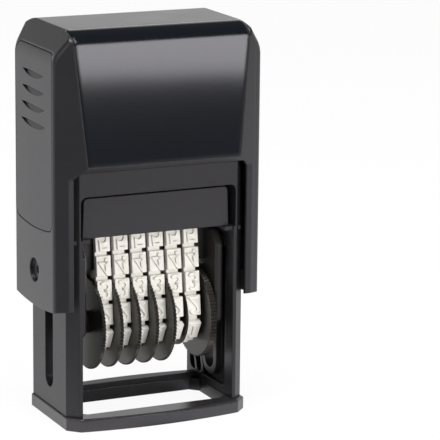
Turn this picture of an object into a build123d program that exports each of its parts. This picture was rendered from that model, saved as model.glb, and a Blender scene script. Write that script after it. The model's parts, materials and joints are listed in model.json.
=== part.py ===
from build123d import *
import os
from math import asin, atan2, cos, degrees, hypot, pi, radians, sin, sqrt

# A self-inking number stamp. A cap slides down over a base frame. The six number bands hang
# in a carriage on two pins in the cap's wings. As the cap goes down, the pins run down the
# slots in the base's legs and studs on the carriage follow a cam track in the legs, which
# turns the carriage over, from the ink pad above it to the paper below it.
#
# Millimetres. X is to the right, Y to the back, Z up. The origin is the centre of the
# foot's underside. The front, with the glossy window, faces -Y.

os.makedirs("parts", exist_ok=True)

# ---------------------------------------------------------------- driving sizes
overall_height = 77.0
sliding_gap = 0.15  # between flat parts that slide on each other
seat_gap = 0.05  # between parts that are fixed together
pin_play = 0.05  # radial, between a pin and what turns on it

# foot frame
foot_side_margin = 0.3  # outside the legs
foot_front_margin = 1.2
foot_back_margin = 0.3
foot_front_bow = 1.4  # the front edge bulges forwards this much in the middle
foot_back_bow = 0.6
foot_height = 2.5
foot_corner = 2.2
foot_window_width = 31.2
foot_window_front = -8.9
foot_window_back = 6.0
foot_window_corner = 1.6
foot_edge = 0.4

# base frame
leg_span = 36.8  # over both legs
leg_depth = 21.2
leg_corner = 2.0
leg_thickness = 2.7
base_top = 52.0
arch_corner = 1.2
tie_bar_depth = 2.7
tie_bar_end_depth = 1.5
tie_bar_height = 1.1
tenon_length = 8.0
tenon_thickness = 1.2
tenon_height = 1.4
tenon_offset = 0.25  # outwards from the middle of the leg's wall
base_wall = 1.6
ledge_width = 1.7
ledge_height = 0.8
ledge_setback = 0.4
spring_seat_height = 1.5

# ink pad and its cassette
cassette_bottom = 37.2
cassette_height = 7.7
cassette_depth = 18.4
cassette_bottom_width = 30.4
cassette_top_width = 29.8
cassette_wall = 1.6
cassette_corner = 0.8
cassette_headroom = 0.6
cassette_pocket = 0.35  # the arch is this much wider each side above the ledges
pad_recess = 1.9  # the inked face lies this far inside the cassette's mouth
pad_edge_gap = 0.3

# pivot pins and slots
pivot_height = 29.8
pin_radius = 1.9
slot_play = 0.1
slot_bottom = 6.2
slot_rim = 1.3  # the wall left standing round the slot
pin_end_bore = 0.8
pin_end_bore_depth = 1.2
counterbore_radius = 2.35
counterbore_depth = 0.7

# type carriage
type_reach = 9.0  # from the pivot to the type face
paper_gap = 0.1  # type face above the paper plane with the cap fully down
axle_drop = 11.5  # from the pivot down to the wheel axle
axle_radius = 1.0
cheek_thickness = 1.6
cheek_gap = 0.6  # between cheek and leg
cheek_half_depth = 7.4
cheek_top_half_depth = 5.2
cheek_top_reach = 6.0  # from the pivot up
cheek_shoulder_reach = 3.2
cheek_hip_drop = 11.8  # from the pivot down
cheek_foot_drop = 15.0
cheek_corner = 1.2
cheek_edge = 0.45
stud_radius = 0.8
stud_reach = 6.2  # from the pivot
stud_angle = -50.0  # at rest, from straight up; positive is towards the back
stud_length = 1.45
track_play = 0.3
track_depth = 1.2
track_steps = 20  # straight pieces along the track
track_rib = 0.85  # the walls left standing beside the cam track
leg_pocket_front_margin = 3.4
leg_pocket_back_margin = 1.5
leg_pocket_bottom = 4.0
leg_pocket_top = 34.5
leg_pocket_corner = 1.5

# number bands
band_count = 6
band_pitch = 3.7
band_row_offset = 0.5  # the row sits this far right of centre
block_width = 2.95
belt_width = 2.45  # flush with the blocks' left edges
belt_thickness = 0.6
block_height = 0.7
numeral_relief = 0.3  # raised numerals on the blocks, to the type face
block_gap = 0.8
block_root = 0.45  # how far a type block's root reaches into the belt
segment_count = 12
nose_half_depth = 2.1  # of the belt's inside where it turns over the platen
nose_corner = 0.6
hub_radius = 4.1
hub_play = 0.15  # between a wheel's hub and the belt round it
nose_play = 0.1  # between the platen and the belt round it

# thumbwheels
wheel_radius = 9.2
disc_thickness = 0.62
end_disc_thickness = 1.2
end_disc_offset = 0.6
collar_radius = 6.4
collar_thickness = 0.3
rim_teeth = 80
tooth_depth = 0.35
wheel_gap = 0.05  # between neighbouring wheels and bands, along the axle
boss_radius = 2.2
boss_play = 0.1
detent_count = 6
detent_radius = 0.5

# index spring
leaf_thickness = 0.3
leaf_width = 2.0
leaf_tip_gap = 0.25
comb_height = 1.2
comb_gap = 0.4  # above the wheels' rims

# cap shell
cap_wall = 1.5
guide_rib_rise = 1.3  # inwards from the wall
wing_skin = 0.75  # in front of and behind the legs
side_flat_inset = 1.4  # from the wing's front edge to the flat side's
cap_corner_slope = 0.58  # depth over width of the upright corner bevels
wing_bottom = 22.8
wing_bottom_rise = 1.0  # the wing's lower edge curves up this much to its corners
wing_strip = 1.08
cap_lip = 50.5
lip_slope_top = 51.5  # the front slopes back below this, into the wings
lip_slope_bottom = 49.3
lip_corner = 1.2
front_bulge_bottom = 1.95  # the leaning front at the lip, in front of the wings
front_bulge_top = 0.55
brow_drop = 2.0  # the brow's height
brow_setback = 4.0  # from the wings' front to the flat top's edge
shoulder_drop = 5.0
shoulder_width = 3.6
shoulder_round = 5.0
bevel_round = 1.2  # of the corner bevels' edges at the sides and at the brows' ends
ceiling_thickness = 1.6
guide_rib_width = 1.2
guide_rib_spacing = 11.0
guide_rib_bottom = 27.0
guide_rib_top = 48.0
pin_boss_radius = 3.3
spring_boss_height = 2.0
ceiling_chamfer = 2.4
ceiling_slope = 3.4  # of the cavity, under the shoulders
spring_boss_radius = 4.1

# glossy window on the front
window_thickness = 0.8
window_lift = 1.3  # its lower edge above the cap's lip
window_side_margin = 0.12  # inside the corner bevels' edges

# grip panels in the cap's sides
grip_depth = 0.95
grip_margin = 0.65
grip_bottom = 38.2
grip_bottom_sag = 0.9
grip_drop = 4.1  # from the top of the cap
grip_corner = 2.0
grip_seam = 0.15
groove_count = 4
groove_drop = 5.0  # from the grip's top edge to the first groove's upper edge
groove_pitch = 3.2
groove_height = 1.0
groove_arch = 0.15
groove_cut = 0.45
groove_first_length = 11.0
groove_growth = 0.6

# return spring
coil_radius = 5.6
wire_radius = 0.45
coil_turns = 7
coil_steps = 18  # straight pieces to a turn

# ---------------------------------------------------------------- sizes worked out
stroke = pivot_height - type_reach - paper_gap
track_turn = pi  # the carriage's half turn over the stroke
leg_inner = leg_span / 2 - leg_thickness
leg_front = leg_depth / 2
pocket_depth = leg_depth - leg_pocket_front_margin - leg_pocket_back_margin
pocket_middle = (leg_pocket_front_margin - leg_pocket_back_margin) / 2
arch_top = cassette_bottom + cassette_height + cassette_headroom
cheek_outer = leg_inner - cheek_gap
cheek_inner = cheek_outer - cheek_thickness
axle_height = pivot_height - axle_drop
belt_hub = hub_radius + hub_play
nose_reach = type_reach - numeral_relief - block_height - belt_thickness  # of the belt's inside
cap_width = leg_span + 2 * (sliding_gap + guide_rib_rise + cap_wall)
wing_front = leg_front + sliding_gap + wing_skin
side_flat = wing_front - side_flat_inset
bevel_ridge = side_flat + cap_corner_slope * cap_width / 2
mouth_half = (bevel_ridge - wing_front) / cap_corner_slope - wing_strip
front_lean_bottom = wing_front + front_bulge_bottom
front_lean_top = wing_front + front_bulge_top
front_top = overall_height - brow_drop
brow_start = wing_front - brow_setback
tenon_x = leg_inner + leg_thickness / 2 + tenon_offset
slot_half = pin_radius + slot_play
slot_length = pivot_height + slot_half - slot_bottom
slot_middle = slot_bottom + slot_length / 2
cap_inner = cap_width / 2 - cap_wall
cap_ceiling = overall_height - ceiling_thickness
cap_inner_front = leg_front + sliding_gap
pin_outer = cap_width / 2 - counterbore_depth
pin_inner = cheek_inner + seat_gap
spring_floor = arch_top + base_wall
brow_run = front_lean_top - brow_start
brow_radius = (brow_run**2 + brow_drop**2) / (2 * brow_drop)
grip_top = overall_height - grip_drop
foot_side = leg_span / 2 + foot_side_margin
foot_front = leg_front + foot_front_margin
foot_back = leg_front + foot_back_margin


def cap_plan(half_depth):
    """Plan outline of the cap: a rectangle with four bevelled corners."""
    bevel_end = (bevel_ridge - half_depth) / cap_corner_slope
    quarter = [(cap_width / 2, side_flat), (bevel_end, half_depth)]
    points = quarter + [(-x, y) for x, y in reversed(quarter)]
    return points + [(-x, -y) for x, y in points]


def front_y(z):
    """Half depth of the cap's leaning front at height z."""
    share = (z - cap_lip) / (front_top - cap_lip)
    return front_lean_bottom + share * (front_lean_top - front_lean_bottom)


def on_bevel(edge):
    """Whether an edge runs straight or round along one of the cap's corner bevels."""
    if edge.geom_type not in (GeomType.LINE, GeomType.ELLIPSE):
        return False
    if edge.center().Z < wing_bottom + wing_bottom_rise:
        return False
    places = (edge @ 0, edge @ 0.5, edge @ 1)
    return all(abs(abs(p.Y) + cap_corner_slope * abs(p.X) - bevel_ridge) < 0.001 for p in places)


def mirrored(points):
    """Points of one side followed by their mirror images, as one closed outline."""
    return points + [(-y, z) for y, z in reversed(points)]


# ---------------------------------------------------------------- foot frame
with BuildPart() as foot_frame:
    with BuildSketch():
        with BuildLine():
            for way, reach, bow in ((-1, foot_front, foot_front_bow), (1, foot_back, foot_back_bow)):
                ThreePointArc(
                    (foot_corner - foot_side, way * reach),
                    (0, way * (reach + bow)),
                    (foot_side - foot_corner, way * reach),
                )
                for side in (-1, 1):
                    Line(
                        (side * (foot_side - foot_corner), way * reach),
                        (side * foot_side, way * (reach - foot_corner)),
                    )
            for side in (-1, 1):
                Line(
                    (side * foot_side, foot_corner - foot_front),
                    (side * foot_side, foot_back - foot_corner),
                )
        make_face()
    extrude(amount=foot_height)
    fillet(foot_frame.faces().sort_by(Axis.Z)[-1].edges(), radius=foot_edge)
    with BuildSketch() as foot_window:
        with Locations((0, (foot_window_front + foot_window_back) / 2)):
            Rectangle(foot_window_width, foot_window_back - foot_window_front)
        chamfer(foot_window.vertices(), length=foot_window_corner)
    extrude(amount=foot_height, mode=Mode.SUBTRACT)
    with BuildSketch(Plane.XY.offset(foot_height)) as foot_mortises:
        with GridLocations(2 * tenon_x, 0, 2, 1):
            Rectangle(tenon_thickness + 2 * seat_gap, tenon_length + 2 * seat_gap)
    extrude(amount=-tenon_height - seat_gap, mode=Mode.SUBTRACT)

# ---------------------------------------------------------------- base frame
def track_point(turn, side, wall=0):
    """A point of the cam track's edge in the leg's plane, side -1 or 1, or 0 on its centre.
    With a wall, the point lies on the outside of the track's wall.

    The pivot drops in step with the turn while the stud circles it, so the centre line is
    (reach sin a, pivot - drop + reach cos a), and the edges lie along its normal."""
    angle = radians(stud_angle) + turn
    fall = stroke / track_turn
    y = stud_reach * sin(angle)
    z = pivot_height - fall * turn + stud_reach * cos(angle)
    run = (stud_reach * cos(angle), -fall - stud_reach * sin(angle))
    half = side * (stud_radius + track_play + wall) / hypot(*run)
    return (y - half * run[1], z + half * run[0])


def track_outline(wall):
    """The cam track's face with its round ends, or with a wall, the face over its walls."""
    turns = [track_turn * i / track_steps for i in range(track_steps + 1)]
    with BuildSketch(mode=Mode.PRIVATE) as outline:
        with BuildLine():
            right_edge = Polyline([track_point(turn, 1, wall) for turn in turns])
            left_edge = Polyline([track_point(turn, -1, wall) for turn in reversed(turns)])
            Line(right_edge @ 1, left_edge @ 0)
            Line(left_edge @ 1, right_edge @ 0)
        make_face()
        with Locations(track_point(0, 0), track_point(track_turn, 0)):
            Circle(stud_radius + track_play + wall)
    return outline.sketch


with BuildPart() as base_frame:
    with BuildSketch(Plane.XY.offset(foot_height)) as base_plan:
        Rectangle(leg_span, leg_depth)
        chamfer(base_plan.vertices(), length=leg_corner)
    extrude(amount=base_top - foot_height)
    # the arch between the legs, open to the front and back
    with BuildSketch(Plane.XZ) as arch:
        with Locations((0, foot_height)):
            Rectangle(2 * leg_inner, arch_top - foot_height, align=(Align.CENTER, Align.MIN))
        with Locations((0, cassette_bottom)):
            Rectangle(
                2 * (leg_inner + cassette_pocket),
                arch_top - cassette_bottom,
                align=(Align.CENTER, Align.MIN),
            )
        fillet(arch.vertices().group_by(Axis.Y)[-1], radius=arch_corner)
    extrude(amount=leg_depth, both=True, mode=Mode.SUBTRACT)
    # a bar ties the legs together at the back
    with BuildSketch(Plane.XY.offset(foot_height)):
        with BuildLine():
            Polyline(
                (leg_inner, foot_window_back + tie_bar_end_depth),
                (leg_inner, foot_window_back),
                (-leg_inner, foot_window_back),
                (-leg_inner, foot_window_back + tie_bar_end_depth),
            )
            ThreePointArc(
                (-leg_inner, foot_window_back + tie_bar_end_depth),
                (0, foot_window_back + tie_bar_depth),
                (leg_inner, foot_window_back + tie_bar_end_depth),
            )
        make_face()
    extrude(amount=tie_bar_height)
    # ledges that carry the pad cassette
    with BuildSketch(Plane.XZ) as ledge_section:
        with Locations((leg_inner, cassette_bottom), (-leg_inner, cassette_bottom)):
            Rectangle(2 * ledge_width, ledge_height, align=(Align.CENTER, Align.MAX))
    extrude(amount=leg_front - ledge_setback, both=True)
    # the spring's well in the top, with a raised seat
    with BuildSketch(Plane.XY.offset(spring_floor)):
        Rectangle(leg_span - 2 * leg_corner, leg_depth - 2 * base_wall)
    extrude(amount=base_top - spring_floor, mode=Mode.SUBTRACT)
    with BuildSketch(Plane.XY.offset(spring_floor)):
        Circle(spring_boss_radius)
    extrude(amount=spring_seat_height)
    # the slots for the pivot pins
    with BuildSketch(Plane.YZ) as pin_slot:
        with Locations((0, slot_middle)):
            SlotOverall(slot_length, 2 * slot_half, rotation=90)
    extrude(amount=leg_span, both=True, mode=Mode.SUBTRACT)
    # pockets in the legs' inner faces, with the slots' rims and the cam tracks' walls left standing
    with BuildSketch(Plane.YZ.offset(-leg_inner - track_depth)) as leg_pocket:
        with Locations((pocket_middle, (leg_pocket_bottom + leg_pocket_top) / 2)):
            RectangleRounded(pocket_depth, leg_pocket_top - leg_pocket_bottom, leg_pocket_corner)
        with Locations((0, slot_middle)):
            SlotOverall(
                slot_length + 2 * slot_rim,
                2 * (slot_half + slot_rim),
                rotation=90,
                mode=Mode.SUBTRACT,
            )
        add(track_outline(track_rib), mode=Mode.SUBTRACT)
        add(track_outline(0))
    extrude(amount=2 * (leg_inner + track_depth), mode=Mode.SUBTRACT)
    # tenons under the legs
    with BuildSketch(Plane.XY.offset(foot_height)):
        with GridLocations(2 * tenon_x, 0, 2, 1):
            Rectangle(tenon_thickness, tenon_length)
    extrude(amount=-tenon_height)

# ---------------------------------------------------------------- pad cassette and pad
with BuildPart() as pad_cassette:
    with BuildSketch(Plane.XZ) as cassette_front:
        with BuildLine():
            Polyline(
                (-cassette_bottom_width / 2, cassette_bottom),
                (cassette_bottom_width / 2, cassette_bottom),
                (cassette_top_width / 2, cassette_bottom + cassette_height),
                (-cassette_top_width / 2, cassette_bottom + cassette_height),
                close=True,
            )
        make_face()
        fillet(cassette_front.vertices().group_by(Axis.Y)[-1], radius=cassette_corner)
    extrude(amount=cassette_depth / 2, both=True)
    with BuildSketch(Plane.XY.offset(cassette_bottom)):
        Rectangle(cassette_top_width - 2 * cassette_wall, cassette_depth - 2 * cassette_wall)
    extrude(amount=cassette_height - cassette_wall, mode=Mode.SUBTRACT)

pad_face = cassette_bottom + pad_recess
with BuildPart() as ink_pad:
    with BuildSketch(Plane.XY.offset(pad_face)):
        Rectangle(
            cassette_top_width - 2 * cassette_wall - 2 * pad_edge_gap,
            cassette_depth - 2 * cassette_wall - 2 * pad_edge_gap,
        )
    extrude(amount=cassette_height - cassette_wall - pad_recess)

# ---------------------------------------------------------------- cap shell
lip_y = front_y(lip_slope_top)
cap_depth = 2 * front_lean_bottom
brow_centre_z = overall_height - brow_radius
brow_mid = (asin(brow_run / brow_radius)) / 2
brow_mid_point = (
    brow_start + brow_radius * sin(brow_mid),
    brow_centre_z + brow_radius * cos(brow_mid),
)

cap_front_outline = mirrored([
    (cap_width / 2, wing_bottom),
    (cap_width / 2, overall_height - shoulder_drop),
    (cap_width / 2 - shoulder_width, overall_height),
])
cavity_outline = mirrored([
    (cap_inner, wing_bottom),
    (cap_inner, cap_ceiling - ceiling_slope),
    (cap_inner - ceiling_slope, cap_ceiling),
])


def window_form(gap):
    """The window's solid, grown by gap at its back, sides and lower edge, and standing out of the cap."""
    depth = window_thickness + gap
    foot = cap_lip + window_lift - gap
    inner_centre = (-brow_start + depth, brow_centre_z - depth)
    inner_top = inner_centre[1] + sqrt(brow_radius**2 - depth**2)
    sides = []
    for z in (foot, cap_depth + overall_height):
        half = (bevel_ridge - front_y(z)) / cap_corner_slope - window_side_margin + gap
        sides.append((half, z))
    with BuildPart() as form:
        with BuildSketch(Plane.YZ.offset(-cap_width / 2)):
            with BuildLine():
                ThreePointArc(
                    (-brow_start, inner_top),
                    (depth - brow_mid_point[0], brow_mid_point[1] - depth),
                    (depth - front_lean_top, front_top - depth),
                )
                Polyline(
                    (depth - front_lean_top, front_top - depth),
                    (depth - front_y(foot + depth), foot),
                    (-cap_depth, foot),
                    (-cap_depth, cap_depth + overall_height),
                    (-brow_start, cap_depth + overall_height),
                    (-brow_start, inner_top),
                )
            make_face()
        extrude(amount=cap_width)
        with BuildSketch(Plane.XZ.offset(-cap_depth)):
            Polygon(*mirrored(sides), align=None)
        extrude(amount=2 * cap_depth, mode=Mode.INTERSECT)
    return form.part


def grip_outline(sketch, seam):
    """The grip panel's outline, moved inwards by seam, in the sketch given."""
    half = side_flat - grip_margin - seam
    with BuildLine() as outline:
        Polyline(
            (-half, grip_bottom + grip_bottom_sag + seam),
            (-half, grip_top - seam),
            (half, grip_top - seam),
            (half, grip_bottom + grip_bottom_sag + seam),
        )
        ThreePointArc(
            (half, grip_bottom + grip_bottom_sag + seam),
            (0, grip_bottom + seam),
            (-half, grip_bottom + grip_bottom_sag + seam),
        )
    make_face(outline.edges())
    fillet(sketch.vertices(), radius=grip_corner - seam)


# the cap's outer form
with BuildPart() as cap_form:
    with BuildSketch(Plane.XY.offset(wing_bottom)):
        Polygon(*cap_plan(lip_y), align=None)
    extrude(amount=overall_height - wing_bottom)
    # the side profile: wings, leaning front and back, curved brows
    with BuildSketch(Plane.YZ.offset(-cap_width / 2)) as cap_profile:
        with BuildLine():
            Line((brow_start, overall_height), (-brow_start, overall_height))
            ThreePointArc(
                (-brow_start, overall_height),
                (-brow_mid_point[0], brow_mid_point[1]),
                (-front_lean_top, front_top),
            )
            Polyline(
                (-front_lean_top, front_top),
                (-lip_y, lip_slope_top),
                (-wing_front, lip_slope_bottom),
                (-wing_front, wing_bottom + wing_bottom_rise),
            )
            ThreePointArc(
                (-wing_front, wing_bottom + wing_bottom_rise),
                (0, wing_bottom),
                (wing_front, wing_bottom + wing_bottom_rise),
            )
            Polyline(
                (wing_front, wing_bottom + wing_bottom_rise),
                (wing_front, lip_slope_bottom),
                (lip_y, lip_slope_top),
                (front_lean_top, front_top),
            )
            ThreePointArc(
                (front_lean_top, front_top),
                brow_mid_point,
                (brow_start, overall_height),
            )
        make_face()
    extrude(amount=cap_width, mode=Mode.INTERSECT)
    # the front profile: sloping shoulders
    with BuildSketch(Plane.XZ.offset(-cap_depth)):
        Polygon(*cap_front_outline, align=None)
    extrude(amount=2 * cap_depth, mode=Mode.INTERSECT)
    level_edges = cap_form.edges().filter_by(Axis.Y)
    fillet(level_edges.filter_by(lambda edge: abs(edge.center().X) == cap_width / 2), radius=shoulder_round)
    bevel_edges = cap_form.edges().filter_by(on_bevel)
    side_edges = bevel_edges.filter_by(lambda edge: abs(edge.center().Y) < wing_front - 0.01)
    brow_edges = bevel_edges.filter_by(lambda edge: edge.center().Z > front_top)
    fillet(side_edges + brow_edges, radius=bevel_round)

# the cavity that slides over the base
with BuildPart() as cap_cavity:
    with BuildSketch(Plane.XY.offset(wing_bottom)):
        Rectangle(2 * cap_inner, 2 * cap_inner_front)
    extrude(amount=cap_ceiling - ceiling_chamfer - wing_bottom)
    with BuildSketch(Plane.XY.offset(cap_ceiling - ceiling_chamfer)):
        Rectangle(2 * cap_inner, 2 * cap_inner_front)
    extrude(amount=ceiling_chamfer, taper=45)
    with BuildSketch(Plane.XZ.offset(-cap_depth)):
        Polygon(*cavity_outline, align=None)
    extrude(amount=2 * cap_depth, mode=Mode.INTERSECT)

with BuildPart() as cap_shell:
    add(cap_form.part)
    add(cap_cavity.part, mode=Mode.SUBTRACT)
    # the mouths at the front and back
    with BuildSketch(Plane.XZ.offset(-cap_depth)) as mouth:
        with Locations((0, wing_bottom)):
            Rectangle(2 * mouth_half, cap_lip - wing_bottom, align=(Align.CENTER, Align.MIN))
        chamfer(mouth.vertices().group_by(Axis.Y)[-1], length=lip_corner)
    extrude(amount=2 * cap_depth, mode=Mode.SUBTRACT)
    # the seat of the window
    add(window_form(seat_gap), mode=Mode.SUBTRACT)
    # the spring's seat under the ceiling
    with BuildSketch(Plane.XY.offset(cap_ceiling)):
        Circle(spring_boss_radius)
    extrude(amount=-spring_boss_height)
    for side in (-1, 1):
        # guide ribs and the pin's boss inside each wing
        with BuildSketch(Plane.YZ.offset(side * (leg_span / 2 + sliding_gap))):
            with Locations((0, (guide_rib_bottom + guide_rib_top) / 2)):
                with GridLocations(guide_rib_spacing, 0, 2, 1):
                    Rectangle(guide_rib_width, guide_rib_top - guide_rib_bottom)
            with Locations((0, pivot_height)):
                Circle(pin_boss_radius)
        extrude(amount=side * (cap_inner - leg_span / 2 - sliding_gap))
        # the stepped hole for the pin
        with BuildSketch(Plane.YZ.offset(side * pin_outer)):
            with Locations((0, pivot_height)):
                Circle(counterbore_radius)
        extrude(amount=side * counterbore_depth, mode=Mode.SUBTRACT)
        with BuildSketch(Plane.YZ.offset(side * leg_span / 2)):
            with Locations((0, pivot_height)):
                Circle(pin_radius)
        extrude(amount=side * (cap_width - leg_span) / 2, mode=Mode.SUBTRACT)
        # the recess for the grip panel
        with BuildSketch(Plane.YZ.offset(side * (cap_width / 2 - grip_depth))) as recess:
            grip_outline(recess, 0)
        extrude(amount=side * grip_depth, mode=Mode.SUBTRACT)

# ---------------------------------------------------------------- parts on the cap
with BuildPart() as index_window:
    add(window_form(0))
    add(cap_form.part, mode=Mode.INTERSECT)

grip_panels = []
for side, hand in ((-1, "left"), (1, "right")):
    with BuildPart() as grip_panel:
        with BuildSketch(Plane.YZ.offset(side * (cap_width / 2 - grip_depth))) as grip:
            grip_outline(grip, grip_seam)
        extrude(amount=side * grip_depth)
        add(cap_form.part, mode=Mode.INTERSECT)
        # finger grooves, deepest along their upper edges and running out downwards
        for i in range(groove_count):
            groove_plane = Plane(
                origin=(side * (cap_width / 2 - groove_cut), 0, grip_top - groove_drop - i * groove_pitch),
                x_dir=(0, side, 0),
                z_dir=(side * groove_height, 0, groove_cut),
            )
            half_length = (groove_first_length + i * groove_growth) / 2
            with BuildSketch(groove_plane):
                with BuildLine():
                    ThreePointArc((-half_length, 0), (0, groove_arch), (half_length, 0))
                    ThreePointArc((half_length, 0), (0, -groove_height), (-half_length, 0))
                make_face()
            extrude(amount=groove_height, mode=Mode.SUBTRACT)
    grip_panels.append(("grip_panel_" + hand, grip_panel))

pivot_pins = []
for side, hand in ((-1, "left"), (1, "right")):
    with BuildPart() as pivot_pin:
        with BuildSketch(Plane.YZ.offset(side * pin_inner)):
            with Locations((0, pivot_height)):
                Circle(pin_radius)
        extrude(amount=side * (pin_outer - pin_inner))
        with BuildSketch(Plane.YZ.offset(side * pin_outer)):
            with Locations((0, pivot_height)):
                Circle(pin_end_bore)
        extrude(amount=-side * pin_end_bore_depth, mode=Mode.SUBTRACT)
    pivot_pins.append(("pivot_pin_" + hand, pivot_pin))

# ---------------------------------------------------------------- return spring
coil_rise = cap_ceiling - spring_floor - 2 * wire_radius
coil_points = []
for i in range(coil_turns * coil_steps + 1):
    angle = 2 * pi * i / coil_steps
    height = spring_floor + wire_radius + coil_rise * i / (coil_turns * coil_steps)
    coil_points.append((coil_radius * cos(angle), coil_radius * sin(angle), height))

with BuildPart() as return_spring:
    with BuildLine() as coil:
        Polyline(*coil_points)
    with BuildSketch(Plane(coil.line @ 0, z_dir=coil.line % 0)):
        RegularPolygon(wire_radius, 6)
    sweep(transition=Transition.RIGHT)

# ---------------------------------------------------------------- carriage
stud_y = stud_reach * sin(radians(stud_angle))
stud_z = pivot_height + stud_reach * cos(radians(stud_angle))

cheeks = []
for side, hand in ((-1, "left"), (1, "right")):
    with BuildPart() as cheek:
        with BuildSketch(Plane.YZ.offset(side * cheek_inner)) as cheek_face:
            with BuildLine():
                Polyline(
                    (-cheek_half_depth, pivot_height - cheek_hip_drop),
                    (-cheek_half_depth, pivot_height + cheek_shoulder_reach),
                    (-cheek_top_half_depth, pivot_height + cheek_top_reach),
                    (cheek_top_half_depth, pivot_height + cheek_top_reach),
                    (cheek_half_depth, pivot_height + cheek_shoulder_reach),
                    (cheek_half_depth, pivot_height - cheek_hip_drop),
                )
                ThreePointArc(
                    (cheek_half_depth, pivot_height - cheek_hip_drop),
                    (0, pivot_height - cheek_foot_drop),
                    (-cheek_half_depth, pivot_height - cheek_hip_drop),
                )
            make_face()
            fillet(cheek_face.vertices(), radius=cheek_corner)
        extrude(amount=side * cheek_thickness)
        chamfer(cheek.faces().filter_by(Axis.X).edges(), length=cheek_edge)
        with BuildSketch(Plane.YZ.offset(side * cheek_inner)):
            with Locations((0, pivot_height)):
                Circle(pin_radius + pin_play)
            with Locations((0, axle_height)):
                Circle(axle_radius)
        extrude(amount=side * cheek_thickness, mode=Mode.SUBTRACT)
        # the stud that rides in the cam track
        with BuildSketch(Plane.YZ.offset(side * cheek_outer)):
            with Locations((stud_y, stud_z)):
                Circle(stud_radius)
        extrude(amount=side * stud_length)
    cheeks.append(("cheek_" + hand, cheek))

# ---------------------------------------------------------------- rest of the carriage
platen_bottom = pivot_height - axle_drop + wheel_radius + comb_gap + comb_height
with BuildPart() as type_platen:
    with BuildSketch(Plane.YZ.offset(-cheek_inner)) as platen_section:
        with Locations((0, platen_bottom)):
            Rectangle(
                2 * (nose_half_depth - nose_play),
                pivot_height + nose_reach - nose_play - platen_bottom,
                align=(Align.CENTER, Align.MIN),
            )
        fillet(platen_section.vertices().group_by(Axis.Y)[-1], radius=nose_corner - nose_play)
    extrude(amount=2 * cheek_inner)

with BuildPart() as wheel_axle:
    with BuildSketch(Plane.YZ.offset(-cheek_outer)):
        with Locations((0, axle_height)):
            Circle(axle_radius)
    extrude(amount=2 * cheek_outer)

band_centres = [band_row_offset + (i - (band_count - 1) / 2) * band_pitch for i in range(band_count)]
leaf_tip = axle_height + hub_radius + leaf_tip_gap
with BuildPart() as index_spring:
    with BuildSketch(Plane.XZ.offset(-leaf_thickness / 2)):
        with Locations((0, platen_bottom)):
            Rectangle(2 * (cheek_inner - boss_play), comb_height, align=(Align.CENTER, Align.MAX))
        for centre in band_centres:
            with Locations((centre, leaf_tip)):
                Rectangle(leaf_width, platen_bottom - leaf_tip, align=(Align.CENTER, Align.MIN))
    extrude(amount=leaf_thickness)

# ---------------------------------------------------------------- number bands
# The belt's middle line runs over the flat nose, round its corner, straight down to the
# hub's circle, round that and up again.
line_offset = belt_thickness / 2
nose_arc = nose_corner + line_offset
hub_arc = belt_hub + line_offset
nose_y = nose_half_depth - nose_corner
nose_z = pivot_height + nose_reach - nose_corner
centre_span = hypot(nose_y, nose_z - axle_height)
lean = asin((hub_arc - nose_arc) / centre_span) - atan2(nose_y, nose_z - axle_height)
straight_length = sqrt(centre_span**2 - (hub_arc - nose_arc) ** 2)
corner_length = nose_arc * (pi / 2 - lean)
hub_length = hub_arc * (pi + 2 * lean)
loop_length = 2 * nose_y + 2 * corner_length + 2 * straight_length + hub_length
segment_pitch = loop_length / segment_count


def belt_point(s):
    """Point on the belt's middle line s along from the nose's centre to either side
    (negative: to the front), with the outward direction's angle from straight up."""
    side = -1 if s < 0 else 1
    s = abs(s)
    if s <= nose_y:
        return (side * s, nose_z + nose_arc, 0.0)
    s -= nose_y
    if s <= corner_length:
        angle = s / nose_arc
        return (side * (nose_y + nose_arc * sin(angle)), nose_z + nose_arc * cos(angle), side * angle)
    s -= corner_length
    angle = pi / 2 - lean
    if s <= straight_length:
        y = nose_y + nose_arc * sin(angle) + s * sin(lean)
        z = nose_z + nose_arc * cos(angle) - s * cos(lean)
        return (side * y, z, side * angle)
    angle += (s - straight_length) / hub_arc
    return (side * hub_arc * sin(angle), axle_height + hub_arc * cos(angle), side * angle)


block_length = segment_pitch - block_gap
bands = []
for i, centre in enumerate(band_centres):
    with BuildPart() as band:
        with BuildSketch(Plane.YZ.offset(centre - block_width / 2)) as belt_section:
            with Locations((0, axle_height)):
                Circle(belt_hub + belt_thickness)
            with Locations((-nose_y, nose_z), (nose_y, nose_z)):
                Circle(nose_corner + belt_thickness)
            make_hull()
            offset(amount=-belt_thickness, mode=Mode.SUBTRACT)
        extrude(amount=belt_width)
        with BuildSketch(Plane.YZ.offset(centre - block_width / 2)):
            for k in range(segment_count):
                y, z, angle = belt_point((k - segment_count / 2 + 1) * segment_pitch)
                rise = (block_height - block_root) / 2 + belt_thickness / 2
                with Locations(Location((y + rise * sin(angle), z + rise * cos(angle)), -degrees(angle))):
                    Rectangle(block_length, block_height + block_root)
        extrude(amount=block_width)
    bands.append(("number_band_" + str(i + 1), band))

# ---------------------------------------------------------------- thumbwheels
rim_step = 2 * pi / rim_teeth
root_radius = wheel_radius - tooth_depth
rim_points = []
for i in range(rim_teeth):
    for share, radius in ((0.0, wheel_radius), (0.5, root_radius)):
        angle = (i + share) * rim_step
        rim_points.append((radius * cos(angle), axle_height + radius * sin(angle)))

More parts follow.
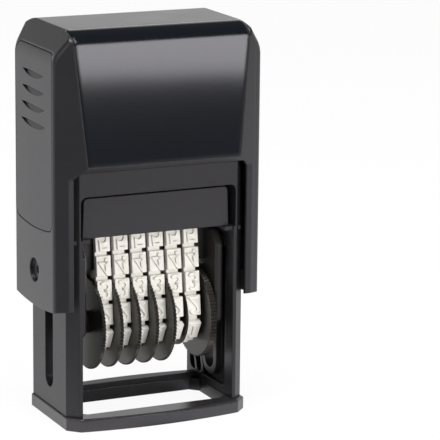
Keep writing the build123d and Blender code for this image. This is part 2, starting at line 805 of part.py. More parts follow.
half_block = block_width / 2 + wheel_gap
wheels = []
for i, centre in enumerate(band_centres):
    last = i == band_count - 1
    disc_t = end_disc_thickness if last else disc_thickness
    hub_start = centre - half_block
    hub_end = centre + band_pitch - half_block - disc_thickness - wheel_gap
    if last:
        hub_start -= collar_thickness
        hub_end = centre + half_block + end_disc_offset
    if i == band_count - 2:
        hub_end = centre + band_pitch - half_block - collar_thickness - wheel_gap
    disc_start = hub_end if last else hub_start - disc_t
    with BuildPart() as wheel:
        with BuildSketch(Plane.YZ.offset(disc_start)):
            Polygon(*rim_points, align=None)
        extrude(amount=disc_t)
        with BuildSketch(Plane.YZ.offset(hub_start)):
            with Locations((0, axle_height)):
                Circle(hub_radius)
                with PolarLocations(hub_radius, detent_count, start_angle=90):
                    Circle(detent_radius, mode=Mode.SUBTRACT)
        extrude(amount=hub_end - hub_start)
        if last:
            with BuildSketch(Plane.YZ.offset(hub_start)):
                with Locations((0, axle_height)):
                    Circle(collar_radius)
            extrude(amount=collar_thickness)
            with BuildSketch(Plane.YZ.offset(disc_start + disc_t)):
                with Locations((0, axle_height)):
                    Circle(boss_radius)
            extrude(amount=cheek_inner - boss_play - disc_start - disc_t)
        if i == 0:
            with BuildSketch(Plane.YZ.offset(disc_start)):
                with Locations((0, axle_height)):
                    Circle(boss_radius)
            extrude(amount=-(disc_start + cheek_inner - boss_play))
        with BuildSketch(Plane.YZ.offset(-cheek_inner)):
            with Locations((0, axle_height)):
                Circle(axle_radius + pin_play)
        extrude(amount=2 * cheek_inner, mode=Mode.SUBTRACT)
    wheels.append(("thumbwheel_" + str(i + 1), wheel))

# ---------------------------------------------------------------- files
single_parts = [
    ("foot_frame", foot_frame),
    ("base_frame", base_frame),
    ("pad_cassette", pad_cassette),
    ("ink_pad", ink_pad),
    ("return_spring", return_spring),
    ("cap_shell", cap_shell),
    ("index_window", index_window),
    ("type_platen", type_platen),
    ("wheel_axle", wheel_axle),
    ("index_spring", index_spring),
]
for name, node in single_parts + grip_panels + pivot_pins + cheeks + bands + wheels:
    node.part.label = name
    export_step(node.part, "parts/" + name + ".step")
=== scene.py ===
import json
from math import asin, atan2, cos, hypot, pi, radians, sin, sqrt

import bmesh
import bpy
import numpy as np
from mathutils import Matrix, Vector


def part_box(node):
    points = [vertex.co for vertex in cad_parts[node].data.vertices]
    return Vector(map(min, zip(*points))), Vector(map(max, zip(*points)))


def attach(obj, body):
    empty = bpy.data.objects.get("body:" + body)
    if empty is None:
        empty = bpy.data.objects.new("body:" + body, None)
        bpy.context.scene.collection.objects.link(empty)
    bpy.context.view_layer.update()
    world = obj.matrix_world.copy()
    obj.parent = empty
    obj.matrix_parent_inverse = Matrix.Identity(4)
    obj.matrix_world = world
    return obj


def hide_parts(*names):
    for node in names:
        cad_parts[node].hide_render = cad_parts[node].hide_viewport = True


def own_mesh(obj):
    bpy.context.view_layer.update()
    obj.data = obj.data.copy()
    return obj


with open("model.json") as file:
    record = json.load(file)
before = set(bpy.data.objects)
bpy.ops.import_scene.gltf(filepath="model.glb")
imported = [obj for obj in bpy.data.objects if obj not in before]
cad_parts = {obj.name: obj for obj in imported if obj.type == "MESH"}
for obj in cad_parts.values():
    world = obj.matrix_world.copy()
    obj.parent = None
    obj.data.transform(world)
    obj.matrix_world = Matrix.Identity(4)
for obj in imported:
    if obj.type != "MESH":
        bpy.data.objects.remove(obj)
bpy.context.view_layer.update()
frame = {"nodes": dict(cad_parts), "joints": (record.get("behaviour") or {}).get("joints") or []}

bl_info = {
    "name": "Number Stamp Looks",
    "version": (1, 0, 0),
    "blender": (4, 5, 0),
    "location": "View3D > Sidebar > Number Stamp",
    "description": "Gives the number stamp its finishes, its raised numerals and a small studio",
    "category": "Object",
}

MM = 1000.0  # millimetres in a metre
BANDS = range(1, 7)

# Grain sizes of the finishes, in metres.
PLASTIC_GRAIN, PLASTIC_CLOUD = 0.00035, 0.012
WINDOW_RIPPLE, WINDOW_SCUFF = 0.02, 0.0012
RUBBER_GRAIN, RUBBER_CLOUD = 0.0003, 0.003
FELT_FIBRE = 0.0004
STEEL_LINE = 0.0003

# Depths of the finishes' relief, in metres.
PLASTIC_RELIEF = 0.000006
WINDOW_RELIEF = 0.00001
RUBBER_RELIEF = 0.000008
FELT_RELIEF = 0.00006
STEEL_RELIEF = 0.000003

# How far each finish softens its edges, in metres.
PLAIN_EDGE = 0.0002
PLASTIC_EDGE = 0.0003
CAP_EDGE = 0.0005
WINDOW_EDGE = 0.0009
WHEEL_EDGE = 0.0001

# Tints of the reflections in black plastic, and the stage's colours.
COOL_TINT = (1.0, 0.96, 1.06, 1.0)
WINDOW_TINT = (1.0, 0.97, 1.02, 1.0)
WARM_TINT = (1.0, 0.94, 0.84, 1.0)
WHITE = (1.0, 1.0, 1.0, 1.0)
FLOOR_GREY = (0.85, 0.85, 0.85, 1.0)

# The return spring, with its wire's radius in metres.
SPRING_TURNS, SPRING_WIRE = 7, 0.00045
SPRING_STEPS, SPRING_AROUND = 36, 10  # rings in a turn, and points in a ring

# The floor lies a little below the foot. Gloss sees it glow bright behind the stamp, half as
# bright to the front right, and dark elsewhere, with painted shade right under the stamp.
# Each pair is where a place starts and ends to brighten, in metres.
FLOOR_DROP = 0.00005
FLOOR_BEHIND = (-0.04, -0.01)  # along y
FLOOR_RIGHT, FLOOR_FRONT, FLOOR_ASIDE = (-0.04, 0.03), (-0.36, -0.24), 0.5
FLOOR_PAINTED_SHADE = (0.0001, 0.0003)  # squares of the distance from the stamp's middle over which the painted shade under it fades out
FLOOR_GLOW_SEEN, FLOOR_GLOW_GLOSS = 0.93, 0.85  # the rest keeps the shadow

# Gloss sees the room bright behind and low, below an edge that tilts with x, and otherwise
# dimmed by ROOM_DIM. The pairs are parts of the direction's y and z. ROOM_LIGHT falls on
# the stamp from all sides.
ROOM_BEHIND, ROOM_HEIGHT, ROOM_TILT = (-0.1, 0.6), (0.26, 0.42), 0.35
ROOM_DIM, ROOM_LIGHT = 0.9, 0.22

# Each lamp's name, place, width, height, power in watts, and whether gloss shows it.
LAMP_TARGET = (0.0, 0.0, 0.045)
LAMPS = (
    ("lamp_top", (-0.10, -0.15, 0.75), 0.45, 0.45, 7.0, True),
    ("lamp_left", (-0.75, -0.25, 0.35), 0.5, 0.5, 0.8, True),
    ("lamp_front", (0.20, -0.83, 0.28), 0.30, 0.30, 4.4, False),
    ("lamp_strip", (0.150, -0.330, 0.056), 0.20, 0.026, 0.18, True),
)

CAMERA_PLACE = (-0.196128, -0.452548, 0.152886)
CAMERA_TURN, CAMERA_PITCH, CAMERA_ROLL = radians(25.2974), radians(13.1447), radians(0.62)
CAMERA_LENS, CAMERA_SENSOR, CAMERA_NEAR = 213.66, 36.0, 0.01


# ------------------------------------------------------------------ shader maths
class Wire:
    """A shader socket. Arithmetic on it adds Math nodes."""

    def __init__(self, finish, socket):
        self.finish = finish
        self.socket = socket

    def maths(self, operation, *values):
        return self.finish.wire("ShaderNodeMath", 0, dict(enumerate(values)), operation=operation)

    def limit(self, most):
        return self.maths("MINIMUM", self, most)

    def __add__(self, other):
        return self.maths("ADD", self, other)

    def __radd__(self, other):
        return self.maths("ADD", other, self)

    def __sub__(self, other):
        return self.maths("SUBTRACT", self, other)

    def __rsub__(self, other):
        return self.maths("SUBTRACT", other, self)

    def __mul__(self, other):
        return self.maths("MULTIPLY", self, other)

    def __rmul__(self, other):
        return self.maths("MULTIPLY", other, self)

    def step(self, low, high):
        """A smooth step from 0 at low to 1 at high."""
        values = {"Value": self, "From Min": low, "From Max": high}
        return self.finish.wire(
            "ShaderNodeMapRange", "Result", values, interpolation_type="SMOOTHSTEP"
        )


class Finish:
    """A material's node tree, or the world's, and the few calls that build it."""

    def __init__(self, owner):
        owner.use_nodes = True
        self.owner = owner
        self.tree = owner.node_tree
        self.tree.nodes.clear()

    def node(self, kind, values=None, **settings):
        """Adds a node, sets its settings, then its sockets' values or links."""
        made = self.tree.nodes.new(kind)
        for name, value in settings.items():
            setattr(made, name, value)
        for key, value in (values or {}).items():
            socket = made.inputs[key]
            if isinstance(value, Wire):
                self.tree.links.new(value.socket, socket)
            else:
                socket.default_value = value
        return made

    def wire(self, kind, output, values=None, **settings):
        """Adds a node and returns the named or numbered output."""
        return Wire(self, self.node(kind, values, **settings).outputs[output])

    def place(self):
        return self.wire("ShaderNodeTexCoord", "Object")

    def axes(self, vector):
        """The vector's X, Y and Z."""
        split = self.node("ShaderNodeSeparateXYZ", {"Vector": vector})
        return [Wire(self, output) for output in split.outputs]

    def rays(self):
        """1 or 0 for a ray of the camera, one off a glossy surface and one through glass."""
        path = self.node("ShaderNodeLightPath")
        kinds = ("Is Camera Ray", "Is Glossy Ray", "Is Transmission Ray")
        return [Wire(self, path.outputs[kind]) for kind in kinds]

    def noise(self, size, detail, roughness=0.55, stretch=(1.0, 1.0, 1.0)):
        """Noise from 0 to 1 whose grains are about size metres across."""
        mapping = {"Vector": self.place(), "Scale": stretch}
        placed = self.wire("ShaderNodeMapping", "Vector", mapping)
        values = {
            "Vector": placed,
            "Scale": 1.0 / size,
            "Detail": detail,
            "Roughness": roughness,
        }
        return self.wire("ShaderNodeTexNoise", "Fac", values)

    def blend(self, share, first, second):
        """A colour that goes from first to second as share goes from 0 to 1."""
        factor, colour_a, colour_b, colour_out = 0, 6, 7, 2
        values = {factor: share, colour_a: first, colour_b: second}
        return self.wire("ShaderNodeMix", colour_out, values, data_type="RGBA")

    def bump(self, height, depth, edge=PLAIN_EDGE):
        """The surface's normal with its edges softened over edge metres and height's relief."""
        soft = self.wire("ShaderNodeBevel", "Normal", {"Radius": edge}, samples=6)
        values = {"Height": height, "Strength": 1.0, "Distance": depth, "Normal": soft}
        return self.wire("ShaderNodeBump", "Normal", values)

    def surface(self, **sockets):
        """Ends the material with one Principled shader and returns the material."""
        values = {name.replace("_", " "): value for name, value in sockets.items()}
        shader = self.wire("ShaderNodeBsdfPrincipled", "BSDF", values)
        self.node("ShaderNodeOutputMaterial", {"Surface": shader})
        return self.owner


def material(name):
    return Finish(bpy.data.materials.new(name))


def shade(colour, factor):
    """The colour with its brightness multiplied by factor."""
    return tuple(channel * factor for channel in colour[:3]) + (1.0,)


# ------------------------------------------------------------------ finishes
def moulded_plastic(name, colour, roughness, gloss=0.5, edge=PLASTIC_EDGE, tint=COOL_TINT):
    """Moulded plastic: fine sparked grain, soft cloudy sheen and a faint drift of tone."""
    finish = material(name)
    grains = finish.noise(PLASTIC_GRAIN, 2.0)
    clouds = finish.noise(PLASTIC_CLOUD, 2.0)
    return finish.surface(
        Base_Color=finish.blend(clouds, shade(colour, 0.88), shade(colour, 1.12)),
        Roughness=roughness - 0.04 + 0.08 * clouds,
        Normal=finish.bump(grains, PLASTIC_RELIEF, edge),
        Specular_IOR_Level=gloss,
        Specular_Tint=tint,
    )


def glossy_window(name, colour, roughness):
    """Polished dark plastic with a very shallow moulding ripple and hairline scuffs."""
    finish = material(name)
    ripple = finish.noise(WINDOW_RIPPLE, 1.0)
    scuffs = finish.noise(WINDOW_SCUFF, 4.0, 0.7, (0.2, 1.0, 1.0)).step(0.62, 0.78)
    return finish.surface(
        Base_Color=finish.blend(ripple, shade(colour, 0.9), shade(colour, 1.1)),
        Roughness=roughness + 0.05 * scuffs,
        Normal=finish.bump(ripple, WINDOW_RELIEF, WINDOW_EDGE),
        Specular_IOR_Level=0.3,
        Specular_Tint=WINDOW_TINT,
    )


def band_rubber(name, colour, stain):
    """Soft pale rubber with faint clouds of ink stain."""
    finish = material(name)
    grains = finish.noise(RUBBER_GRAIN, 2.0)
    clouds = finish.noise(RUBBER_CLOUD, 3.0)
    return finish.surface(
        Base_Color=finish.blend(clouds.step(0.45, 0.9) * 0.35, colour, stain),
        Roughness=0.5 + 0.12 * clouds,
        Normal=finish.bump(grains, RUBBER_RELIEF),
    )


def felt(name, colour):
    """Dense inked felt: short matted fibres."""
    finish = material(name)
    fibres = finish.noise(FELT_FIBRE, 5.0, 0.7, (1.0, 3.0, 1.0))
    return finish.surface(
        Base_Color=finish.blend(fibres, shade(colour, 0.6), shade(colour, 1.5)),
        Roughness=0.92,
        Normal=finish.bump(fibres, FELT_RELIEF),
    )


def drawn_steel(name, colour, roughness):
    """Bright steel with fine lines along its length."""
    finish = material(name)
    lines = finish.noise(STEEL_LINE, 3.0, 0.6, (0.05, 1.0, 1.0))
    return finish.surface(
        Base_Color=finish.blend(lines, shade(colour, 0.85), colour),
        Metallic=1.0,
        Roughness=roughness - 0.05 + 0.15 * lines,
        Normal=finish.bump(lines, STEEL_RELIEF),
    )


def dress(finish, *nodes):
    """Gives every material slot of the named solids the finish."""
    for name in nodes:
        for slot in frame["nodes"][name].material_slots:
            slot.material = finish


# ------------------------------------------------------------------ numerals
def arc(centre, radii, start, end, count):
    """Points of an ellipse's arc: centre + (rx cos t, ry sin t), t from start to end degrees."""
    angle = np.radians(np.linspace(start, end, count))
    return np.array(centre) + np.array(radii) * np.stack([np.cos(angle), np.sin(angle)], 1)


def strokes():
    """Each numeral's strokes as centre lines in a box 1 wide and 1 tall, centred on 0."""
    join = np.vstack
    return {
        0: [arc((0, 0), (0.42, 0.5), 90, 450, 28)],
        1: [join([(-0.26, 0.3), (0.06, 0.5), (0.06, -0.5)])],
        2: [join([
            arc((0, 0.22), (0.42, 0.28), 165, -25, 14),
            [(-0.42, -0.5), (0.44, -0.5)],
        ])],
        3: [
            arc((-0.02, 0.25), (0.38, 0.25), 150, -90, 14),
            arc((-0.02, -0.25), (0.44, 0.25), 90, -150, 14),
        ],
        4: [join([(0.2, -0.5), (0.2, 0.5), (-0.44, -0.2), (0.46, -0.2)])],
        5: [join([
            [(0.38, 0.5), (-0.3, 0.5), (-0.36, 0.04)],
            arc((-0.02, -0.18), (0.44, 0.32), 115, -150, 16),
        ])],
        6: [
            arc((0.1, 0.0), (0.52, 0.5), 75, 180, 12),
            arc((0, -0.2), (0.42, 0.3), 180, 540, 24),
        ],
        7: [join([(-0.42, 0.5), (0.42, 0.5), (-0.12, -0.5)])],
        8: [
            arc((0, 0.25), (0.36, 0.25), 270, 630, 22),
            arc((0, -0.24), (0.43, 0.26), 90, 450, 22),
        ],
        9: [
            arc((0, 0.2), (0.42, 0.3), 0, 360, 24),
            arc((-0.1, 0.0), (0.52, 0.5), 0, -105, 12),
        ],
    }


def unit(vectors):
    """Each vector divided by its length."""
    return vectors / np.linalg.norm(vectors, axis=-1, keepdims=True)


def tube_faces(rings, around, closed):
    """Quads between each ring of a tube and the next, and a face over each open end.

    Point j of ring i is number i * around + j."""
    i = np.arange(rings if closed else rings - 1)[:, None]
    j = np.arange(around)[None, :]
    beside, ahead = (j + 1) % around, (i + 1) % rings
    corners = [i * around + j, i * around + beside, ahead * around + beside, ahead * around + j]
    faces = [tuple(quad) for quad in np.stack(corners, -1).reshape(-1, 4).tolist()]
    if not closed:
        last = (rings - 1) * around
        faces += [tuple(range(around))[::-1], tuple(range(last, last + around))]
    return faces


def ridge(path, face, draft, height):
    """A ridge along a path in the plane, with a flat face and sloping flanks.

    Each ring's top is the path's point plus half the face's width to either side along
    the path's normal, and its foot is wider by draft to either side. Where the path turns,
    the normal is longer by 1 / cos of half the turn, up to a limit. The path may be a loop.
    Returns points (x, y, rise) and faces."""
    longest_mitre = 1.8
    closed = np.allclose(path[0], path[-1])
    steps = np.diff(path, axis=0)
    if closed:
        points, ahead, behind = path[:-1], steps, np.roll(steps, 1, 0)
    else:
        points = path
        ahead, behind = np.vstack([steps, steps[-1:]]), np.vstack([steps[:1], steps])
    ahead = unit(ahead)
    middle = unit(ahead + unit(behind))
    turn = np.maximum((middle * ahead).sum(1, keepdims=True), 1.0 / longest_mitre)
    normal = np.stack([-middle[:, 1], middle[:, 0]], 1) / turn
    half = face / 2
    sides = np.array([-half - draft, -half, half, half + draft])
    grid = np.empty((len(points), len(sides), 3))
    grid[..., :2] = points[:, None] + normal[:, None] * sides[:, None]
    grid[..., 2] = (0.0, height, height, 0.0)
    return grid.reshape(-1, 3), tube_faces(len(points), len(sides), closed)


def spring_mesh(low, high):
    """A wire carried along a helix that fills the box from low to high, in metres.

    The centre line is (R cos t, R sin t, z(t)); z climbs slowly over the first and last
    turns and evenly between. Each ring of the wire is a circle across that line."""
    wire, end_pace = SPRING_WIRE, 0.25
    share = np.linspace(0.0, 1.0, SPRING_TURNS * SPRING_STEPS + 1)
    angle = 2 * pi * SPRING_TURNS * share
    pace = np.clip(np.minimum(share, 1.0 - share) * SPRING_TURNS, end_pace, 1.0)
    climb = np.concatenate([[0.0], np.cumsum((pace[1:] + pace[:-1]) / 2)])
    radius = (high.x - low.x) / 2 - wire
    middle = (low + high) / 2
    z = low.z + wire + (high.z - low.z - 2 * wire) * climb / climb[-1]
    out = np.stack([np.cos(angle), np.sin(angle), np.zeros_like(angle)], 1)
    line = radius * out + np.stack([np.full_like(z, middle.x), np.full_like(z, middle.y), z], 1)
    up = np.cross(unit(np.gradient(line, axis=0)), out)
    turn = np.linspace(0.0, 2 * pi, SPRING_AROUND, endpoint=False)[None, :, None]
    grid = line[:, None] + wire * (np.cos(turn) * out[:, None] + np.sin(turn) * up[:, None])
    return grid.reshape(-1, 3), tube_faces(len(line), SPRING_AROUND, False)


class BandPath:
    """The belt's middle line: over the flat nose, round its corners, straight down to the
    wheel's hub and round that. The same loop as the bands of the frame, in millimetres."""

    pivot_z = 29.8
    axle_z = 18.3
    type_reach = 9.0  # from the pivot to the face of the frame's type
    type_height = 0.3
    thickness = 0.6
    block_height = 0.7
    block_count = 12
    nose_half_depth = 2.1
    nose_radius = 0.6
    hub_radius = 4.25
    nose_number = 6  # the numeral on the middle of the nose
    rise = 0.38  # the numerals' height over their blocks
    sink = 0.02  # how deep the numerals' feet stand in them

    def __init__(self):
        self.nose_arc = self.nose_radius + self.thickness / 2
        self.hub_arc = self.hub_radius + self.thickness / 2
        self.nose_y = self.nose_half_depth - self.nose_radius
        block_top = self.pivot_z + self.type_reach - self.type_height
        self.nose_z = block_top - self.block_height - self.thickness - self.nose_radius
        height = self.nose_z - self.axle_z
        widening = self.hub_arc - self.nose_arc
        span = hypot(self.nose_y, height)
        self.lean = asin(widening / span) - atan2(self.nose_y, height)
        self.straight = sqrt(span**2 - widening**2)
        self.corner = self.nose_arc * (pi / 2 - self.lean)
        half_hub = self.hub_arc * (pi / 2 + self.lean)
        half = self.nose_y + self.corner + self.straight + half_hub
        self.pitch = 2 * half / self.block_count

    def at(self, s):
        """Place on the loop s from the nose's centre (negative to the front), and the
        outward direction's angle from straight up."""
        side = -1 if s < 0 else 1
        s = abs(s)
        if s <= self.nose_y:
            return side * s, self.nose_z + self.nose_arc, 0.0
        s -= self.nose_y
        if s <= self.corner:
            angle = s / self.nose_arc
            return (
                side * (self.nose_y + self.nose_arc * sin(angle)),
                self.nose_z + self.nose_arc * cos(angle),
                side * angle,
            )
        s -= self.corner
        angle = pi / 2 - self.lean
        if s <= self.straight:
            y = self.nose_y + self.nose_arc * sin(angle) + s * sin(self.lean)
            z = self.nose_z + self.nose_arc * cos(angle) - s * cos(self.lean)
            return side * y, z, side * angle
        angle += (s - self.straight) / self.hub_arc
        y, z = self.hub_arc * sin(angle), self.axle_z + self.hub_arc * cos(angle)
        return side * y, z, side * angle


def numeral_mesh(centre, path, sizes):
    """All ten numerals of one band as one mesh, each standing on its block's outer face.

    A point (x, y) of a numeral goes to the block's centre plus x to the right and y
    towards the front along the belt, raised along the belt's outward direction."""
    points, faces = [], []
    total = 0
    foot = path.thickness / 2 + path.block_height - path.sink
    box = (sizes.numeral_width - sizes.stroke, sizes.numeral_height - sizes.stroke)
    for number, lines in strokes().items():
        y, z, angle = path.at((number - path.nose_number) * path.pitch)
        out = np.array([sin(angle), cos(angle)])
        along = np.array([-cos(angle), sin(angle)])
        for line in lines:
            local, quads = ridge(line * box, sizes.stroke, sizes.draft, path.rise + path.sink)
            yz = (y, z) + np.outer(local[:, 1], along) + np.outer(foot + local[:, 2], out)
            points.append(np.column_stack([centre + local[:, 0], yz]))
            faces += [tuple(total + corner for corner in face) for face in quads]
            total += len(local)
    return np.vstack(points) / MM, faces


def mesh_object(name, points, faces, finish):
    """A new object at the origin with these points and faces, in this finish."""
    mesh = bpy.data.meshes.new(name)
    mesh.from_pydata(points.tolist(), [], faces)
    mesh.validate()
    mesh.update()
    mesh.materials.append(finish)
    made = bpy.data.objects.new(name, mesh)
    bpy.context.scene.collection.objects.link(made)
    return made


def turn_outwards(made):
    """Points every face of the object outwards."""
    work = bmesh.new()
    work.from_mesh(made.data)
    bmesh.ops.recalc_face_normals(work, faces=work.faces)
    work.to_mesh(made.data)
    work.free()


# ------------------------------------------------------------------ settings
def colour_setting(name, description, default):
    return bpy.props.FloatVectorProperty(
        name=name,
        description=description,
        default=default,
        subtype="COLOR",
        size=3,
        min=0.0,
        max=1.0,
    )


def length_setting(name, description, default):
    return bpy.props.FloatProperty(
        name=name, description=description + ", in millimetres", default=default, min=0.01
    )


class StampColours(bpy.types.PropertyGroup):
    """Colours of the stamp's finishes."""

    cap: colour_setting("Cap", "Plastic of the cap and grips", (0.0145, 0.0140, 0.0150))
    frame: colour_setting("Frame", "Plastic of base, foot and cassette", (0.0130, 0.0125, 0.0130))
    window: colour_setting("Window", "Glossy front and top panel", (0.004, 0.005, 0.007))
    carriage: colour_setting("Carriage", "Plastic of the carriage's cheeks", (0.020, 0.019, 0.018))
    wheels: colour_setting("Wheels", "Plastic of the thumbwheels", (0.015, 0.0137, 0.0115))
    bands: colour_setting("Bands", "Rubber of the number bands", (0.73, 0.705, 0.655))
    stain: colour_setting("Stain", "Ink stain on the bands", (0.42, 0.40, 0.36))
    pad: colour_setting("Pad", "Felt of the ink pad", (0.012, 0.014, 0.030))
    steel: colour_setting("Steel", "Axle, index spring and return spring", (0.62, 0.61, 0.58))


class StampSizes(bpy.types.PropertyGroup):
    """Sizes of what this file adds to the frame."""

    numeral_width: length_setting("Numeral width", "Width of a raised numeral", 2.4)
    numeral_height: length_setting("Numeral height", "Height of a raised numeral", 3.5)
    stroke: length_setting("Stroke", "Width of the face of a numeral's stroke", 0.48)
    draft: length_setting("Draft", "How far a stroke's flanks slope out", 0.08)
    floor: bpy.props.FloatProperty(
        name="Floor", description="Side of the floor", default=3.0, min=0.5, unit="LENGTH"
    )
    background: bpy.props.FloatProperty(
        name="Background",
        description="Brightness of the background, 1 is white",
        default=1.0,
        min=0.0,
        max=1.0,
    )


# ------------------------------------------------------------------ operators
def own(colour):
    """The colour of a setting as a shader takes it."""
    return tuple(colour) + (1.0,)


class STAMP_OT_stage(bpy.types.Operator):
    """Set up the floor, the lamps, the background and the camera"""

    bl_idname = "stamp.stage"
    bl_label = "Stage"

    def execute(self, context):
        sizes = context.scene.stamp_sizes
        self.make_floor(sizes)
        self.make_world(context.scene, sizes)
        self.make_lamps(context)
        self.make_camera(context)
        context.scene.view_settings.view_transform = "Standard"
        return {"FINISHED"}

    def make_floor(self, sizes):
        """A white plane that keeps the stamp's soft shadow, is lit up for gloss in places, and has
        painted shade for gloss right under the stamp.
        """
        corners = np.array([(-1, -1), (1, -1), (1, 1), (-1, 1)]) * sizes.floor / 2
        points = np.column_stack([corners, np.full(len(corners), -FLOOR_DROP)])
        finish = material("floor_white")
        camera, off_gloss, through_glass = finish.rays()
        gloss = off_gloss + through_glass
        x, y, _ = finish.axes(finish.place())
        behind = y.step(*FLOOR_BEHIND)
        aside = x.step(*FLOOR_RIGHT) * y.step(*FLOOR_FRONT) * (1.0 - behind)
        # painted shade: gloss sees the floor's glow fade to dark right under the stamp
        clear = (x * x + y * y).step(*FLOOR_PAINTED_SHADE)
        bright = (behind + FLOOR_ASIDE * aside) * clear
        level = sizes.background * (1.0 - gloss * (1.0 - bright))
        matt = finish.wire("ShaderNodeBsdfDiffuse", "BSDF", {"Color": FLOOR_GREY})
        glow = finish.wire("ShaderNodeEmission", "Emission", {"Color": WHITE, "Strength": level})
        share = FLOOR_GLOW_SEEN * camera + FLOOR_GLOW_GLOSS * gloss
        mix = finish.wire("ShaderNodeMixShader", "Shader", {0: share, 1: matt, 2: glow})
        finish.node("ShaderNodeOutputMaterial", {"Surface": mix})
        mesh_object("floor", points, [(0, 1, 2, 3)], finish.owner)

    def make_world(self, scene, sizes):
        """White to the camera; a bright backdrop behind and a dim room in front for gloss."""
        world = bpy.data.worlds.new("studio")
        scene.world = world
        finish = Finish(world)
        camera, gloss, through_glass = finish.rays()
        seen = (camera + gloss + through_glass).limit(1.0)
        x, y, z = finish.axes(finish.wire("ShaderNodeTexCoord", "Generated"))
        behind = y.step(*ROOM_BEHIND)
        low = 1.0 - (z - ROOM_TILT * x).step(*ROOM_HEIGHT)
        room = 1.0 - gloss * (1.0 - behind * low) * ROOM_DIM
        level = seen * room * sizes.background + (1.0 - seen) * ROOM_LIGHT
        values = {"Color": WHITE, "Strength": level}
        back = finish.wire("ShaderNodeBackground", "Background", values)
        finish.node("ShaderNodeOutputWorld", {"Surface": back})

    def make_lamps(self, context):
        """Soft rectangles of light, each turned towards the middle of the stamp."""
        for name, place, width, height, power, in_gloss in LAMPS:
            data = bpy.data.lights.new(name, "AREA")
            data.shape = "RECTANGLE"
            data.size = width
            data.size_y = height
            data.energy = power
            lamp = bpy.data.objects.new(name, data)
            lamp.location = place
            aim = Vector(LAMP_TARGET) - Vector(place)
            lamp.rotation_euler = aim.to_track_quat("-Z", "Y").to_euler()
            lamp.visible_camera = False
            lamp.visible_glossy = in_gloss
            context.scene.collection.objects.link(lamp)

    def make_camera(self, context):
        """Looks down on the stamp from its left front, through a long lens, rolled a little."""
        turn, pitch, roll = CAMERA_TURN, CAMERA_PITCH, CAMERA_ROLL
        ahead = Vector((sin(turn) * cos(pitch), cos(turn) * cos(pitch), -sin(pitch)))
        level = Vector((cos(turn), -sin(turn), 0.0))
        upright = level.cross(ahead)
        right = level * cos(roll) + upright * sin(roll)
        up = upright * cos(roll) - level * sin(roll)
        data = bpy.data.cameras.new("camera")
        data.lens = CAMERA_LENS
        data.sensor_width = CAMERA_SENSOR
        data.clip_start = CAMERA_NEAR
        camera = bpy.data.objects.new("camera", data)
        facing = Matrix((right, up, -ahead)).transposed().to_4x4()
        camera.matrix_world = Matrix.Translation(CAMERA_PLACE) @ facing
        context.scene.collection.objects.link(camera)
        context.scene.camera = camera


class STAMP_OT_cap(bpy.types.Operator):
    """Give the cap, its grips and its glossy window their plastics"""

    bl_idname = "stamp.cap"
    bl_label = "Cap"

    def execute(self, context):
        colours = context.scene.stamp_colours
        shell = moulded_plastic("cap_plastic", own(colours.cap), roughness=0.30, edge=CAP_EDGE)
        dress(shell, "cap_shell")
        grips = moulded_plastic("grip_plastic", own(colours.cap), roughness=0.34)
        dress(grips, "grip_panel_left", "grip_panel_right")
        window = glossy_window("window_plastic", own(colours.window), roughness=0.08)
        dress(window, "index_window")
        return {"FINISHED"}


class STAMP_OT_base(bpy.types.Operator):
    """Give the base frame, foot, cassette, pad, pins and return spring their finishes"""

    bl_idname = "stamp.base"
    bl_label = "Base"

    def execute(self, context):
        colours = context.scene.stamp_colours
        base = moulded_plastic("frame_plastic", own(colours.frame), roughness=0.40)
        dress(base, "base_frame")
        # painted light: the foot is the frame's plastic made 1.5 times lighter, so it shows as
        # bright as lit
        foot = shade(colours.frame, 1.5)
        dress(moulded_plastic("foot_plastic_painted_lighter", foot, roughness=0.27, gloss=0.75), "foot_frame")
        # painted light: the cassette is the frame's plastic made 1.45 times lighter, so it shows
        # as bright as lit
        cassette = shade(colours.frame, 1.45)
        dress(moulded_plastic("cassette_plastic_painted_lighter", cassette, roughness=0.46), "pad_cassette")
        pins = moulded_plastic("pin_plastic", shade(colours.frame, 2.5), roughness=0.28)
        dress(pins, "pivot_pin_left", "pivot_pin_right")
        dress(felt("pad_felt", own(colours.pad)), "ink_pad")
        steel = drawn_steel("spring_steel", own(colours.steel), roughness=0.32)
        dress(steel, "index_spring")
        self.make_spring(steel)
        return {"FINISHED"}

    def make_spring(self, steel):
        """The return spring as a coil in the box of the frame's spring. It works out how much of
        its length the cap's whole travel would leave, but does not shorten.
        """
        low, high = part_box("return_spring")
        points, faces = spring_mesh(low, high)
        spring = mesh_object("return_coil", points, faces, steel)
        turn_outwards(spring)
        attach(spring, "base")
        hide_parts("return_spring")
        press = next(joint for joint in frame["joints"] if joint["name"] == "cap_press")
        travel = max(abs(end) for end in press["range_m"])
        keep = 1.0 - travel / (high.z - low.z)
        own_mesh(spring)


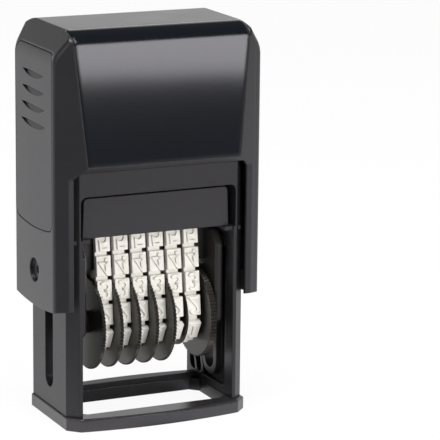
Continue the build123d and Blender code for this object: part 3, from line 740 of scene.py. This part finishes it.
class STAMP_OT_carriage(bpy.types.Operator):
    """Give the carriage's cheeks, platen, axle and thumbwheels their finishes"""

    bl_idname = "stamp.carriage"
    bl_label = "Carriage"

    def execute(self, context):
        colours = context.scene.stamp_colours
        cheeks = moulded_plastic("carriage_plastic", own(colours.carriage), roughness=0.30)
        dress(cheeks, "cheek_left", "cheek_right", "type_platen")
        wheels = moulded_plastic(
            "wheel_plastic",
            own(colours.wheels),
            roughness=0.32,
            gloss=0.4,
            edge=WHEEL_EDGE,
            tint=WARM_TINT,
        )
        dress(wheels, *("thumbwheel_%d" % number for number in BANDS))
        axle = drawn_steel("axle_steel", shade(colours.steel, 0.25), roughness=0.35)
        dress(axle, "wheel_axle")
        return {"FINISHED"}


class STAMP_OT_bands(bpy.types.Operator):
    """Give the bands their rubber and stand the numerals on their blocks"""

    bl_idname = "stamp.bands"
    bl_label = "Bands"

    def execute(self, context):
        colours = context.scene.stamp_colours
        sizes = context.scene.stamp_sizes
        rubber = band_rubber("band_rubber", own(colours.bands), own(colours.stain))
        path = BandPath()
        for number in BANDS:
            node = "number_band_%d" % number
            dress(rubber, node)
            low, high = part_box(node)
            points, faces = numeral_mesh((low.x + high.x) / 2 * MM, path, sizes)
            numerals = mesh_object("numerals_%d" % number, points, faces, rubber)
            turn_outwards(numerals)
            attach(numerals, "carriage")
        return {"FINISHED"}


OPERATORS = (STAMP_OT_stage, STAMP_OT_cap, STAMP_OT_base, STAMP_OT_carriage, STAMP_OT_bands)


class STAMP_PT_looks(bpy.types.Panel):
    """Lists the stamp's colours, sizes and operators in the sidebar"""

    bl_idname = "STAMP_PT_looks"
    bl_label = "Number Stamp"
    bl_space_type = "VIEW_3D"
    bl_region_type = "UI"
    bl_category = "Number Stamp"

    def draw(self, context):
        for group in (context.scene.stamp_colours, context.scene.stamp_sizes):
            box = self.layout.box()
            for name in group.__annotations__:
                box.prop(group, name)
        for operator in OPERATORS:
            self.layout.operator(operator.bl_idname)


CLASSES = (StampColours, StampSizes) + OPERATORS + (STAMP_PT_looks,)


def register():
    for one in CLASSES:
        bpy.utils.register_class(one)
    bpy.types.Scene.stamp_colours = bpy.props.PointerProperty(type=StampColours)
    bpy.types.Scene.stamp_sizes = bpy.props.PointerProperty(type=StampSizes)


def unregister():
    del bpy.types.Scene.stamp_colours
    del bpy.types.Scene.stamp_sizes
    for one in reversed(CLASSES):
        bpy.utils.unregister_class(one)


def main():
    register()
    for name in ("stage", "cap", "base", "carriage", "bands"):
        getattr(bpy.ops.stamp, name)()


if __name__ == "__main__":
    main()
